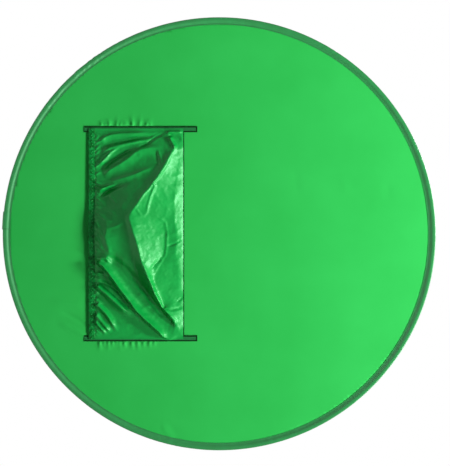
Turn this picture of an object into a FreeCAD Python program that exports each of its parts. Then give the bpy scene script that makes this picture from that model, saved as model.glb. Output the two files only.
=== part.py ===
import FreeCAD, Part
import math
import os

from FreeCAD import Vector

# Pop-up backdrop disc with a chair-back pocket, hung on a chair: +Z is up, the disc stands in the
# XZ plane, its plain front faces +Y and the pocket is on its rear, facing -Y, mouth downwards.
# The origin is on the rear face of the fabric, at the middle of the pocket's closed seam.

# disc
disc_diameter = 1420.0
seam_to_centre = 118.0
fabric_thickness = 0.6
fabric_tuck = 16.0

# sprung hoop and its crimped sleeve
hoop_width = 7.0
hoop_thickness = 1.2
hoop_end_gap = 0.8
hoop_side_room = 1.0
hoop_edge_room = 1.0
ferrule_wall = 0.6
ferrule_length = 50.0
join_offset = 14.0

# binding tape, folded over the hoop
binding_wall = 1.2
binding_width = 24.0
leaf_width = 8.0
land_width = 4.0
rim_corner_radius = 2.5
lap_thickness = 0.8
lap_length = 59.0

# tapes sewn to the rear of the fabric
tape_width = 20.0
tape_thickness = 1.0
tape_tab_length = 46.0
tape_stub_length = 13.0
tape_margin = 8.0
seam_tape_width = 12.0
seam_tape_margin = 3.0
seam_tape_thickness = 0.8

# pocket
pocket_width = 690.0
pocket_depth = 312.0
panel_thickness = 1.2
pocket_lift = 0.3
mouth_rise = 22.0
bulge_height = 30.0
crest_depth = 0.62
crest_sweep = 0.9
rise_power = 1.5
fall_power = 1.2
swell_power = 0.6
swag_height = 4.5
ridge_height = 14.0
least_ridge = 0.6
steepest_ridge = 0.3
crest_share = 0.3
valley_share = 0.4
valley_power = 6
fan_power = 1.5
corner_step = 8.0
left_valleys_at_mouth = (-262.0, -205.0, -129.0)
right_valleys_at_mouth = (55.0, 135.0, 220.0)
swag_arcs = 3
section_count = 12

# elastic mouth
casing_width = 20.0
casing_thickness = 3.6
casing_wall = 0.8
casing_end_wall = 3.0
elastic_width = 16.0
elastic_thickness = 1.2
elastic_side_room = 0.4

# derived places
rim_radius = disc_diameter / 2
centre = Vector(0, 0, seam_to_centre)
mid_plane = fabric_thickness / 2
pocket_half = pocket_width / 2
panel_depth = pocket_depth - casing_width
pocket_base = tape_thickness + pocket_lift
cavity_half = hoop_width / 2 + hoop_side_room
hoop_outer_radius = rim_radius - binding_wall - hoop_edge_room
hoop_inner_radius = hoop_outer_radius - hoop_thickness
panel_inset = (casing_thickness - panel_thickness) / 2


def angle_of(length):
    return math.degrees(length / rim_radius)


def rim_point(radius, offset):
    # a point of a rim section at the lowest place of the disc, offset from the fabric's mid-plane
    return Vector(0, mid_plane + offset, seam_to_centre - radius)


def rim_solid(wire, turn, start=0.0):
    solid = Part.Face(wire).revolve(centre, Vector(0, 1, 0), turn)
    solid.rotate(centre, Vector(0, 1, 0), start)
    return solid


def rim_line(a, b):
    return Part.LineSegment(rim_point(*a), rim_point(*b)).toShape()


def rim_corner(radius, offset, corner, side):
    # the round front (side 1) or rear (side -1) corner of the rim
    curve = Part.BezierCurve()
    curve.setPoles([rim_point(radius - corner, side * offset), rim_point(radius, side * offset),
                    rim_point(radius, side * (offset - corner))])
    return curve.toShape()


def tape_fold(grow, corner):
    # one line of the folded tape, grown outwards from the cavity's wall: flat leaf, ramp, flat
    # land over the strip's edge, corner and rim, on both sides of the fabric
    ramp_start = rim_radius - binding_width + leaf_width
    land_start = rim_radius - rim_corner_radius - land_width
    bend = math.tan(math.atan2(cavity_half - fabric_thickness / 2, land_start - ramp_start) / 2)
    shift = (binding_wall - grow) * bend
    radius = rim_radius - binding_wall + grow
    leaf = fabric_thickness / 2 + grow
    face = cavity_half + grow
    edges = [rim_line((radius, face - corner), (radius, corner - face))]
    for side in (1, -1):
        points = [(rim_radius - binding_width, side * leaf), (ramp_start + shift, side * leaf),
                  (land_start + shift, side * face), (radius - corner, side * face)]
        edges += [rim_line(a, b) for a, b in zip(points, points[1:])]
        if corner:
            edges.append(rim_corner(radius, face, corner, side))
    return edges


def folded_section(inner_grow, outer_grow):
    # closed section of tape between a square inner line and a round outer one, with the inner
    # edges of its two leaves
    edges = tape_fold(inner_grow, 0.0) + tape_fold(outer_grow, rim_corner_radius - binding_wall + outer_grow)
    inner_edge = rim_radius - binding_width
    for side in (1, -1):
        near = side * (fabric_thickness / 2 + inner_grow)
        far = side * (fabric_thickness / 2 + outer_grow)
        edges.append(rim_line((inner_edge, near), (inner_edge, far)))
    return Part.Wire(Part.__sortEdges__(edges))


def backdrop_fabric():
    radius = rim_radius - binding_width + fabric_tuck
    return Part.makeCylinder(radius, fabric_thickness, centre, Vector(0, 1, 0))


def edge_binding():
    ring = rim_solid(folded_section(0.0, binding_wall), 360)
    lap = rim_solid(folded_section(binding_wall / 3, binding_wall + lap_thickness),
                    angle_of(lap_length), angle_of(join_offset))
    return ring.fuse(lap).removeSplitter()


def hoop_section(growth):
    half = hoop_width / 2 + growth
    inner = hoop_inner_radius - growth
    outer = hoop_outer_radius + growth
    return Part.makePolygon([rim_point(inner, -half), rim_point(outer, -half),
                             rim_point(outer, half), rim_point(inner, half),
                             rim_point(inner, -half)])


def hoop_strip():
    gap = angle_of(hoop_end_gap)
    return rim_solid(hoop_section(0.0), 360 - gap, angle_of(join_offset) + gap / 2)


def hoop_ferrule():
    turn = angle_of(ferrule_length)
    start = angle_of(join_offset) - turn / 2
    sleeve = rim_solid(hoop_section(ferrule_wall), turn, start)
    return sleeve.cut(rim_solid(hoop_section(0.0), turn, start))


def side_tape(side):
    outer = pocket_half + tape_margin
    low = -pocket_depth - tape_stub_length
    left = min(side * outer, side * (outer - tape_width))
    return Part.makeBox(tape_width, tape_thickness, tape_tab_length - low,
                        Vector(left, -tape_thickness, low))


def seam_tape():
    half = pocket_half + tape_margin - tape_width
    return Part.makeBox(2 * half, seam_tape_thickness, seam_tape_width,
                        Vector(-half, -seam_tape_thickness, seam_tape_margin - seam_tape_width))


def crown(x):
    return max(0.0, 1 - (x / pocket_half) ** 2)


def bulge(x, depth):
    # slack cloth hangs from both closed corners as a swag: its crest is lowest at mid-width
    crest = crest_depth * (1 - crest_sweep * (x / pocket_half) ** 2)
    if depth < crest:
        return 1 - (1 - depth / crest) ** rise_power
    return 1 - ((depth - crest) / (1 - crest)) ** fall_power


def fullness(x, depth):
    # how far the slack cloth stands off its base, at a share of the way from seam to mouth
    arch = mouth_rise * depth * crown(x)
    return arch + bulge_height * bulge(x, depth) * math.sqrt(crown(x))


def fan_place(side, index, at_mouth, depth):
    # a fold line leaves the closed corner and spreads towards its own place in the mouth
    corner = side * (pocket_half - (index + 1) * corner_step)
    return corner + (at_mouth - corner) * depth ** fan_power


def fold_places(depth):
    # valleys of the two fans, and between them the evenly spaced joints of the swag's arcs
    left = [fan_place(-1, i, x, depth) for i, x in enumerate(left_valleys_at_mouth)]
    right = [fan_place(1, len(right_valleys_at_mouth) - 1 - i, x, depth)
             for i, x in enumerate(right_valleys_at_mouth)]
    step = (right[0] - left[-1]) / swag_arcs
    swag = [left[-1] + step * i for i in range(1, swag_arcs)]
    return [-pocket_half] + left, swag, right + [pocket_half]


def swell(depth):
    # folds are flat at the closed seam and at the casing, and stand highest half way
    return math.sin(math.pi * depth) ** swell_power


def panel_point(x, height, depth, rise):
    base = pocket_base + panel_inset * depth + rise
    return Vector(x, -(base + height), -panel_depth * depth)


def crest_height(start, end, depth, extra):
    # the middle of a fold stays above its two ends, and below the half circle on them
    level = (start[1] + end[1]) / 2
    wanted = fullness((start[0] + end[0]) / 2, depth) + extra * swell(depth)
    highest = level + steepest_ridge * (end[0] - start[0])
    return min(max(wanted, level + least_ridge), highest)


def swag_arc(start, end, depth, rise):
    points = (start, ((start[0] + end[0]) / 2, crest_height(start, end, depth, swag_height)), end)
    return [Part.Arc(*[panel_point(x, h, depth, rise) for x, h in points]).toShape()]


def ridge(start, end, depth, rise):
    # a fold of the fan: straight flanks out of two valleys, and a round crest that they run into
    middle = (start[0] + end[0]) / 2
    apex = crest_height(start, end, depth, ridge_height)
    near = [a + (b - a) * (1 - crest_share) for a, b in zip(start, (middle, apex))]
    far = [a + (b - a) * (1 - crest_share) for a, b in zip(end, (middle, apex))]
    top = (middle, (near[1] + far[1]) / 4 + apex / 2)
    foot, shoulder, crown_top, other_shoulder, other_foot = [
        panel_point(x, h, depth, rise) for x, h in (start, near, top, far, end)]
    return [Part.LineSegment(foot, shoulder).toShape(),
            Part.Arc(shoulder, crown_top, other_shoulder).toShape(),
            Part.LineSegment(other_shoulder, other_foot).toShape()]


def fold_line(depth, rise):
    # one line of the panel across its width: the left fan's ridges, the swag, the right fan's
    keep = valley_share + (1 - valley_share) * depth ** valley_power
    left, swag, right = fold_places(depth)
    left = [(x, fullness(x, depth) * keep) for x in left]
    swag = [(x, fullness(x, depth) + swag_height * swell(depth)) for x in swag]
    right = [(x, fullness(x, depth) * keep) for x in right]
    middle = left[-1:] + swag + right[:1]
    edges = []
    for stops, fold in ((left, ridge), (middle, swag_arc), (right, ridge)):
        for start, end in zip(stops, stops[1:]):
            edges += fold(start, end, depth, rise)
    return edges


def fold_section(depth):
    inner = fold_line(depth, 0.0)
    outer = fold_line(depth, panel_thickness)
    edges = list(inner)
    edges.append(Part.LineSegment(inner[-1].lastVertex().Point, outer[-1].lastVertex().Point).toShape())
    edges += reversed(outer)
    edges.append(Part.LineSegment(outer[0].firstVertex().Point, inner[0].firstVertex().Point).toShape())
    return Part.Wire(edges)


def pocket_panel():
    sections = [fold_section(i / (section_count - 1)) for i in range(section_count)]
    return Part.makeLoft(sections, True, True)


def mouth_band(half, low, thickness, width, offset):
    # a band along the arched mouth: low and width are its place across the mouth's height
    z = -pocket_depth + low
    ends = []
    for height in (offset, offset + thickness):
        rise = pocket_base + height
        ends.append([Vector(-half, -(rise + mouth_rise * crown(half)), z),
                     Vector(0, -(rise + mouth_rise), z),
                     Vector(half, -(rise + mouth_rise * crown(half)), z)])
    inner, outer = ends
    edges = [Part.Arc(*inner).toShape(), Part.LineSegment(inner[2], outer[2]).toShape(),
             Part.Arc(*outer).toShape(), Part.LineSegment(outer[0], inner[0]).toShape()]
    return Part.Face(Part.Wire(Part.__sortEdges__(edges))).extrude(Vector(0, 0, width))


def mouth_casing():
    tunnel_width = elastic_width + 2 * elastic_side_room
    tunnel = mouth_band(pocket_half - casing_end_wall, (casing_width - tunnel_width) / 2,
                        casing_thickness - 2 * casing_wall, tunnel_width, casing_wall)
    return mouth_band(pocket_half, 0.0, casing_thickness, casing_width, 0.0).cut(tunnel)


def mouth_elastic():
    return mouth_band(pocket_half - casing_end_wall - elastic_side_room,
                      (casing_width - elastic_width) / 2, elastic_thickness, elastic_width,
                      (casing_thickness - elastic_thickness) / 2)


def build():
    nodes = {
        "backdrop_fabric": backdrop_fabric(),
        "edge_binding": edge_binding(),
        "hoop_strip": hoop_strip(),
        "hoop_ferrule": hoop_ferrule(),
        "side_tape_left": side_tape(-1),
        "side_tape_right": side_tape(1),
        "seam_tape": seam_tape(),
        "pocket_panel": pocket_panel(),
        "mouth_casing": mouth_casing(),
        "mouth_elastic": mouth_elastic(),
    }
    os.makedirs("parts", exist_ok=True)
    for name, shape in nodes.items():
        print(name, shape.isValid(), len(shape.Solids), round(shape.Volume), len(shape.Faces))
        shape.exportStep("parts/" + name + ".step")


build()
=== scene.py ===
import math
import random
import bmesh
import bpy
import numpy as np
from mathutils import Matrix, Vector, noise


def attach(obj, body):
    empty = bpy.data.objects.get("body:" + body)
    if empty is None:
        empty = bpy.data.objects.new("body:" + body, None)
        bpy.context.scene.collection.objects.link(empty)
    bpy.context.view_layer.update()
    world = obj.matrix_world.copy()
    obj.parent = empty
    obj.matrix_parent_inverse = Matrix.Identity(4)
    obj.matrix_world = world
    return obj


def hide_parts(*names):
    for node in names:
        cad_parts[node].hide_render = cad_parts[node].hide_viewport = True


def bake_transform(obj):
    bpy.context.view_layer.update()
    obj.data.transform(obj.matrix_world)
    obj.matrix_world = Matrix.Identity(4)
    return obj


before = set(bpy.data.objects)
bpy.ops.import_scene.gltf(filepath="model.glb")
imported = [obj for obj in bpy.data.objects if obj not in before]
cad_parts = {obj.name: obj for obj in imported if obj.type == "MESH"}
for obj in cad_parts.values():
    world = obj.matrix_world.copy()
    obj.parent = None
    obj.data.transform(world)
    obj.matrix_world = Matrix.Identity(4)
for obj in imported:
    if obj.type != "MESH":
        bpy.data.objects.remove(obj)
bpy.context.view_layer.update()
bpy.context.scene.view_settings.view_transform = "Standard"
print("frame loaded:", len(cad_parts), "nodes")

mm = 0.001

photo = {
    "width": 450,
    "height": 466,
    "discAcross": 218.74,  # where the disc's centre lies in the photo, in its pixels
    "discDown": 233.27,
    "discRadius": 216.43,
}

disc = {
    "radius": 0.710,
    "centreUp": 0.118,  # above the pocket's closed seam
    "clothRadius": 0.702,
    "clothThick": 0.6 * mm,
}

metresPerPixel = disc["radius"] / photo["discRadius"]
# where the pocket's closed seam lies in the photo
seamAcross = photo["discAcross"] - disc["centreUp"] / metresPerPixel


# small helpers

def linearColour(hexText):
    channels = [int(hexText[i:i + 2], 16) / 255 for i in (1, 3, 5)]
    linear = [c / 12.92 if c <= 0.04045 else ((c + 0.055) / 1.055) ** 2.4 for c in channels]
    return (*linear, 1.0)


def smoothStep(low, high, value):
    t = np.clip((value - low) / (high - low), 0, 1)
    return t * t * (3 - 2 * t)


def meshPiece(name, bm, material):
    mesh = bpy.data.meshes.new(name)
    bm.to_mesh(mesh)
    bm.free()
    for polygon in mesh.polygons:
        polygon.use_smooth = True
    mesh.materials.append(material)
    piece = bpy.data.objects.new(name, mesh)
    bpy.context.scene.collection.objects.link(piece)
    return piece


def finishModifiers(piece):
    depsgraph = bpy.context.evaluated_depsgraph_get()
    finished = bpy.data.meshes.new_from_object(piece.evaluated_get(depsgraph))
    piece.modifiers.clear()
    piece.data = finished
    return piece


def solidify(piece, thickness, offset=-1.0):
    thick = piece.modifiers.new("wall", "SOLIDIFY")
    thick.thickness = thickness
    thick.offset = offset
    return finishModifiers(piece)


def surfaceNormals(points, wrap):
    # of a grid of points, from the whole surface, so that two halves of it shade as one
    if wrap:
        ring = np.concatenate([points[:, -2:-1], points, points[:, 1:2]], axis=1)
        down = (ring[:, 2:] - ring[:, :-2]) / 2
    else:
        down = np.gradient(points, axis=1)
    normals = np.cross(np.gradient(points, axis=0), down)
    return normals / np.maximum(np.linalg.norm(normals, axis=2, keepdims=True), 1e-12)


def gridPiece(name, points, normals, material, thickness=0.0, closed=False):
    # a sheet over a grid of points, or a tube where its last column meets its first
    rows, columns = points.shape[:2]
    bm = bmesh.new()
    bmesh.ops.create_grid(bm, x_segments=rows - 1, y_segments=columns - 1, size=1)
    lean = bm.verts.layers.float_vector.new("lean")
    for v in bm.verts:
        i = round((v.co.x + 1) / 2 * (rows - 1))
        j = round((v.co.y + 1) / 2 * (columns - 1))
        v.co = points[i, j]
        v[lean] = normals[i, j]
    if closed:
        bmesh.ops.remove_doubles(bm, verts=bm.verts, dist=1e-6)
    if not thickness:
        bmesh.ops.holes_fill(bm, edges=[e for e in bm.edges if e.is_boundary], sides=0)
    bmesh.ops.recalc_face_normals(bm, faces=bm.faces)
    piece = meshPiece(name, bm, material)
    if thickness:
        solidify(piece, thickness)
    mesh = piece.data
    leans = np.zeros(len(mesh.vertices) * 3)
    mesh.attributes["lean"].data.foreach_get("vector", leans)
    leans = leans.reshape(-1, 3)
    own = np.array([v.normal for v in mesh.vertices])
    leans[(leans * own).sum(axis=1) < 0] *= -1
    mesh.attributes.remove(mesh.attributes["lean"])
    mesh.normals_split_custom_set_from_vertices(leans.tolist())
    return piece


def splitAtMiddle(name, points, normals, material, thickness=0.0, closed=False):
    # a left and a right half, so that each follows the joint from its own sewn side
    middle = points.shape[0] // 2
    halves = {"left": slice(0, middle + 1), "right": slice(middle, None)}
    return [gridPiece(name + "_" + side, points[part], normals[part], material, thickness, closed)
            for side, part in halves.items()]


# camera, light and floor

cameraSettings = {"distance": 5.0, "sensorWidth": 36, "clipEnd": 50}


def makeCamera():
    distance = cameraSettings["distance"]
    up = disc["centreUp"] + ((photo["width"] - 1) / 2 - photo["discAcross"]) * metresPerPixel
    side = ((photo["height"] - 1) / 2 - photo["discDown"]) * metresPerPixel
    data = bpy.data.cameras.new("camera")
    data.sensor_width = cameraSettings["sensorWidth"]
    data.lens = data.sensor_width * distance / (photo["height"] * metresPerPixel)
    data.clip_end = cameraSettings["clipEnd"]
    camera = bpy.data.objects.new("camera", data)
    # the photo shows the disc turned a quarter: its right is up here and its lower edge is +X
    rolled = Matrix(((0, -1, 0), (0, 0, -1), (1, 0, 0))).to_4x4()
    camera.matrix_world = Matrix.Translation((side, -distance, up)) @ rolled
    bpy.context.scene.collection.objects.link(camera)
    bpy.context.scene.camera = camera


lamps = {
    "keyLamp": {"place": (3.0, -2.0, 4.2), "target": (-6.0, 0, 4.5), "size": 1.1, "watts": 450},
    "sideLamp": {"place": (0.2, -1.9, 4.6), "target": (0, 0, 0.1), "size": 0.9, "watts": 242},
    "fillLamp": {"place": (-1.6, -3.2, -2.2), "target": (0, 0, -0.1), "size": 1.0, "watts": 58},
    "frontLamp": {"place": (-0.6, 3.0, 3.0), "target": (0, 0, 0.1), "size": 1.6, "watts": 170},
}
fillStrength = 0.06  # of the world's own light


def makeLamps():
    for name, lamp in lamps.items():
        data = bpy.data.lights.new(name, "AREA")
        data.shape = "DISK"
        data.size = lamp["size"]
        data.energy = lamp["watts"]
        thing = bpy.data.objects.new(name, data)
        aim = Vector(lamp["target"]) - Vector(lamp["place"])
        thing.rotation_euler = aim.to_track_quat("-Z", "Y").to_euler()
        thing.location = lamp["place"]
        bpy.context.scene.collection.objects.link(thing)


def addNode(tree, kind, settings=None, links=None):
    return setNode(tree, tree.nodes.new(kind), settings, links)


def setNode(tree, node, settings=None, links=None):
    # settings are sockets' values or the node's own options, links are the outputs to join on
    for key, value in (settings or {}).items():
        if isinstance(key, int) or key in node.inputs:
            node.inputs[key].default_value = value
        else:
            setattr(node, key, value)
    for key, source in (links or {}).items():
        tree.links.new(source, node.inputs[key])
    return node


def whiteToTheEye(tree):
    # 1 for rays that end in the picture, straight, mirrored or through glass, and 0 for light
    path = addNode(tree, "ShaderNodeLightPath")
    eye = addNode(tree, "ShaderNodeMath", {"operation": "MAXIMUM"},
                  {0: path.outputs["Is Camera Ray"], 1: path.outputs["Is Glossy Ray"]})
    return addNode(tree, "ShaderNodeMath", {"operation": "MAXIMUM"},
                   {0: eye.outputs[0], 1: path.outputs["Is Transmission Ray"]}).outputs[0]


def makeWorld():
    world = bpy.data.worlds.new("studio")
    bpy.context.scene.world = world
    world.use_nodes = True
    tree = world.node_tree
    tree.nodes.clear()
    seen = addNode(tree, "ShaderNodeBackground", {"Color": (1, 1, 1, 1), "Strength": 1.0})
    fill = addNode(tree, "ShaderNodeBackground",
                   {"Color": linearColour("#f2fff4"), "Strength": fillStrength})
    mix = addNode(tree, "ShaderNodeMixShader", None,
                  {0: whiteToTheEye(tree), 1: fill.outputs[0], 2: seen.outputs[0]})
    addNode(tree, "ShaderNodeOutputWorld", None, {"Surface": mix.outputs[0]})


# materials

bandScale = 0.314  # a Wave Texture's scale times the distance from band to band, in metres
# The cloth's threads are about 0.3 mm apart; they are drawn coarser, so that the grain shows.
weave = {"pitch": 0.9 * mm, "tapePitch": 0.8 * mm, "relief": 0.08 * mm}


def newMaterial(name):
    # with its nodes, its shader and the object's own coordinates
    material = bpy.data.materials.new(name)
    material.use_nodes = True
    tree = material.node_tree
    space = addNode(tree, "ShaderNodeTexCoord").outputs["Object"]
    return material, tree, tree.nodes["Principled BSDF"], space


def colourBetween(tree, value, low, high, lowColour, highColour):
    # one colour up to a low value, another from a high value on, and a blend between the two
    share = addNode(tree, "ShaderNodeMapRange", {"From Min": low, "From Max": high},
                    {"Value": value})
    return addNode(tree, "ShaderNodeMix", {"data_type": "RGBA", 6: linearColour(lowColour),
                                           7: linearColour(highColour)},
                   {0: share.outputs[0]}).outputs[2]


def weaveHeight(tree, space, pitch):
    # threads crossing over and under: two sets of bands multiplied
    warp, weft = (addNode(tree, "ShaderNodeTexWave",
                          {"bands_direction": axis, "Scale": bandScale / pitch},
                          {"Vector": space}) for axis in "XZ")
    return addNode(tree, "ShaderNodeMath", {"operation": "MULTIPLY"},
                   {0: warp.outputs["Fac"], 1: weft.outputs["Fac"]}).outputs[0]


def matteWeave():
    # polyester woven plain: dull, even cloth with a faint thread grain and slow changes of tone
    material, tree, shader, space = newMaterial("matt polyester weave")
    tone = addNode(tree, "ShaderNodeTexNoise", {"Scale": 1 / (220 * mm), "Detail": 3},
                   {"Vector": space})
    colour = colourBetween(tree, tone.outputs["Fac"], 0.3, 0.7, "#23c34e", "#2acb55")
    grain = addNode(tree, "ShaderNodeBump", {"Strength": 0.3, "Distance": weave["relief"]},
                    {"Height": weaveHeight(tree, space, weave["pitch"])})
    setNode(tree, shader, {"Roughness": 0.72, "Specular IOR Level": 0.3, "Sheen Weight": 0.05},
            {"Base Color": colour, "Normal": grain.outputs["Normal"]})
    return material


def coatedTaffeta():
    # thin cloth with a shiny coating, which takes pale soft highlights on its folds
    material, tree, shader, space = newMaterial("coated taffeta")
    tone = addNode(tree, "ShaderNodeTexNoise", {"Scale": 1 / (50 * mm), "Detail": 3},
                   {"Vector": space})
    colour = colourBetween(tree, tone.outputs["Fac"], 0.3, 0.7, "#05983b", "#07a342")
    crumple = addNode(tree, "ShaderNodeTexNoise",
                      {"Scale": 1 / (12 * mm), "Detail": 4, "Roughness": 0.6}, {"Vector": space})
    relief = addNode(tree, "ShaderNodeBump", {"Strength": 0.5, "Distance": 0.6 * mm},
                     {"Height": crumple.outputs["Fac"]})
    setNode(tree, shader, {"Roughness": 0.38, "Specular IOR Level": 0.5,
                           "Specular Tint": linearColour("#b9ffcf")},
            {"Base Color": colour, "Normal": relief.outputs["Normal"]})
    return material


def shadedShirredTaffeta():
    # the same cloth doubled and drawn up tight over the elastic, coloured darker than the panel's
    # cloth as painted shade, with lighter patches about a ripple apart as painted glints; its gloss
    # adds glints on its ridges
    material, tree, shader, space = newMaterial("shirred taffeta, painted shade")
    tone = addNode(tree, "ShaderNodeTexNoise", {"Scale": 1 / (12 * mm), "Detail": 3},
                   {"Vector": space})
    # painted shade and painted glints: darker greens than the panel's cloth, lighter in patches
    # about a ripple apart
    colour = colourBetween(tree, tone.outputs["Fac"], 0.35, 0.65, "#046a22", "#12a346")
    setNode(tree, shader, {"Roughness": 0.3, "Specular IOR Level": 0.2,
                           "Specular Tint": linearColour("#b4ffcc")}, {"Base Color": colour})
    return material


def grosgrain():
    # ribbed tape: fine ribs across its length and a dull face
    material, tree, shader, space = newMaterial("grosgrain tape")
    ribs = addNode(tree, "ShaderNodeTexWave",
                   {"bands_direction": "Z", "Scale": bandScale / tape["ribPitch"]},
                   {"Vector": space})
    face = colourBetween(tree, ribs.outputs["Fac"], 0.2, 0.8, "#1f753b", "#2f914e")
    # the woven edges and the folded end of the side tapes are darker than the ribbed middle: partly
    # the woven edge's own colour, widened into painted shade along the pocket's hem; the seam tape,
    # far from their middle, is painted shade all over
    split = addNode(tree, "ShaderNodeSeparateXYZ", None, {0: space})
    fromDisc = addNode(tree, "ShaderNodeMath", {"operation": "ABSOLUTE"}, {0: split.outputs["X"]})
    offMiddle = addNode(tree, "ShaderNodeMath", {"operation": "SUBTRACT", 1: tape["middle"]},
                        {0: fromDisc.outputs[0]})
    toSide = addNode(tree, "ShaderNodeMath", {"operation": "ABSOLUTE"}, {0: offMiddle.outputs[0]})
    toEnd = addNode(tree, "ShaderNodeMath",
                    {"operation": "SUBTRACT", 1: tape["top"] - tape["width"] / 2},
                    {0: split.outputs["Z"]})
    nearest = addNode(tree, "ShaderNodeMath", {"operation": "MAXIMUM"},
                      {0: toSide.outputs[0], 1: toEnd.outputs[0]})
    edge = addNode(tree, "ShaderNodeMapRange",
                   {"From Min": tape["edgeShadeFrom"], "From Max": tape["edgeShadeTo"]},
                   {"Value": nearest.outputs[0]})
    # painted shade: near-black green on the side tapes' edges and end, and over the whole seam tape
    colour = addNode(tree, "ShaderNodeMix", {"data_type": "RGBA", 7: linearColour("#04330f")},
                     {0: edge.outputs[0], 6: face})
    relief = addNode(tree, "ShaderNodeBump", {"Strength": 0.8, "Distance": 0.25 * mm},
                     {"Height": ribs.outputs["Fac"]})
    setNode(tree, shader, {"Roughness": 0.75, "Specular IOR Level": 0.08},
            {"Base Color": colour.outputs[2], "Normal": relief.outputs["Normal"]})
    return material


def bindingTape():
    # smooth woven tape, pressed flat: dark green, with a pale sheen where it turns to the lamps
    material, tree, shader, space = newMaterial("folded binding tape")
    tone = addNode(tree, "ShaderNodeTexNoise", {"Scale": 1 / (30 * mm), "Detail": 3},
                   {"Vector": space})
    colour = colourBetween(tree, tone.outputs["Fac"], 0.3, 0.7, "#0c7b34", "#14863e")
    grain = addNode(tree, "ShaderNodeBump", {"Strength": 0.4, "Distance": weave["relief"]},
                    {"Height": weaveHeight(tree, space, weave["tapePitch"])})
    setNode(tree, shader, {"Roughness": 0.4, "Specular IOR Level": 0.9,
                           "Specular Tint": linearColour("#d0ffe0")},
            {"Base Color": colour, "Normal": grain.outputs["Normal"]})
    return material


def sewingThread():
    # twisted polyester thread, darker than the cloth
    material, tree, shader, space = newMaterial("sewing thread")
    twist = addNode(tree, "ShaderNodeTexWave",
                    {"bands_direction": "DIAGONAL", "Scale": bandScale / (0.7 * mm)},
                    {"Vector": space})
    colour = colourBetween(tree, twist.outputs["Fac"], 0.2, 0.8, "#063a14", "#0c5a24")
    setNode(tree, shader, {"Roughness": 0.55}, {"Base Color": colour})
    return material


def wovenElastic():
    # pale elastic with lengthwise cords
    material, tree, shader, space = newMaterial("woven elastic")
    cords = addNode(tree, "ShaderNodeTexWave",
                    {"bands_direction": "Z", "Scale": bandScale / (1.6 * mm)}, {"Vector": space})
    colour = colourBetween(tree, cords.outputs["Fac"], 0.2, 0.8, "#b8b8ae", "#e2e2da")
    relief = addNode(tree, "ShaderNodeBump", {"Strength": 0.7, "Distance": 0.3 * mm},
                     {"Height": cords.outputs["Fac"]})
    setNode(tree, shader, {"Roughness": 0.8},
            {"Base Color": colour, "Normal": relief.outputs["Normal"]})
    return material


def rolledSteel():
    # blue-grey spring steel with a fine mottle from rolling
    material, tree, shader, space = newMaterial("spring steel")
    marks = addNode(tree, "ShaderNodeTexNoise", {"Scale": 1 / (0.4 * mm)}, {"Vector": space})
    colour = colourBetween(tree, marks.outputs["Fac"], 0.3, 0.7, "#7d8187", "#989ba0")
    setNode(tree, shader, {"Metallic": 1, "Roughness": 0.34}, {"Base Color": colour})
    return material


def crimpedSleeve():
    # soft aluminium, dull, with small dents from the crimping tool
    material, tree, shader, space = newMaterial("crimped sleeve")
    dents = addNode(tree, "ShaderNodeTexNoise", {"Scale": 1 / (4 * mm), "Detail": 1},
                    {"Vector": space})
    colour = colourBetween(tree, dents.outputs["Fac"], 0.3, 0.7, "#a9abad", "#bcbebf")
    relief = addNode(tree, "ShaderNodeBump", {"Strength": 0.6, "Distance": 0.3 * mm},
                     {"Height": dents.outputs["Fac"]})
    setNode(tree, shader, {"Metallic": 1, "Roughness": 0.45},
            {"Base Color": colour, "Normal": relief.outputs["Normal"]})
    return material


def paleFloor():
    # painted studio floor, almost even; it is pale to the eye and throws little light back up
    material, tree, shader, space = newMaterial("pale floor")
    mottle = addNode(tree, "ShaderNodeTexNoise", {"Scale": 1 / (500 * mm)}, {"Vector": space})
    colour = colourBetween(tree, mottle.outputs["Fac"], 0.3, 0.7, "#f4f4f2", "#f9f9f7")
    setNode(tree, shader, {"Roughness": 0.8}, {"Base Color": colour})
    dim = addNode(tree, "ShaderNodeBsdfDiffuse", {"Color": linearColour("#565656")})
    mix = addNode(tree, "ShaderNodeMixShader", None,
                  {0: whiteToTheEye(tree), 1: dim.outputs[0], 2: shader.outputs[0]})
    setNode(tree, tree.nodes["Material Output"], None, {"Surface": mix.outputs[0]})
    return material


floor = {"radius": 2.4, "segments": 96, "up": -1.1}


def makeFloor():
    bm = bmesh.new()
    bmesh.ops.create_circle(bm, cap_ends=True, segments=floor["segments"], radius=floor["radius"])
    bmesh.ops.translate(bm, vec=(0, 0, floor["up"]), verts=bm.verts)
    meshPiece("floor", bm, paleFloor())


# backdrop cloth

backdrop = {
    "cell": 11 * mm,
    "fineAcross": [(348 * mm, 392 * mm, 2.4 * mm), (190 * mm, 348 * mm, 5 * mm)],
    "fineUp": [(-318 * mm, -60 * mm, 2.4 * mm), (-440 * mm, -318 * mm, 5 * mm)],
    "puckerHeight": 4.6 * mm,
    "puckerWidth": 4.6 * mm,
    "puckerLength": 38 * mm,
    "puckerLengths": (0.6, 1.1),  # the shortest and the longest, as shares of that
    "puckerLean": 0.15,
    "puckerTaper": 1.5,  # how early it gets low on its way out; 1 is a straight slope
    "puckerStart": (-1 * mm, 5 * mm),  # where a pucker comes up, out from the tape's edge
    "tapeEdge": 353 * mm,  # outer edge of a side tape
    "creaseCrisp": 0.5,
    "creaseFade": (0.3, 0.3),
    "seed": 4,
}

# The gathers that the side tapes draw into the backdrop: where each starts, across the photo in
# its pixels, above the upper tape and below the lower one, and how strong it is.
puckers = {
    -1: [(101, 0.9), (105, 0.5), (109, 1.0), (116, 0.7), (120, 0.8), (123.5, 0.5), (126, 0.6),
         (132, 1.0), (139, 0.7), (146, 0.8), (150, 0.5)],
    1: [(99, 0.8), (103.5, 0.6), (107.7, 0.8), (112, 0.9), (116, 0.6), (119, 0.5), (124, 0.9),
        (131, 0.8), (137, 0.7), (143, 0.6), (149, 0.8), (154, 0.5)],
}

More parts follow.
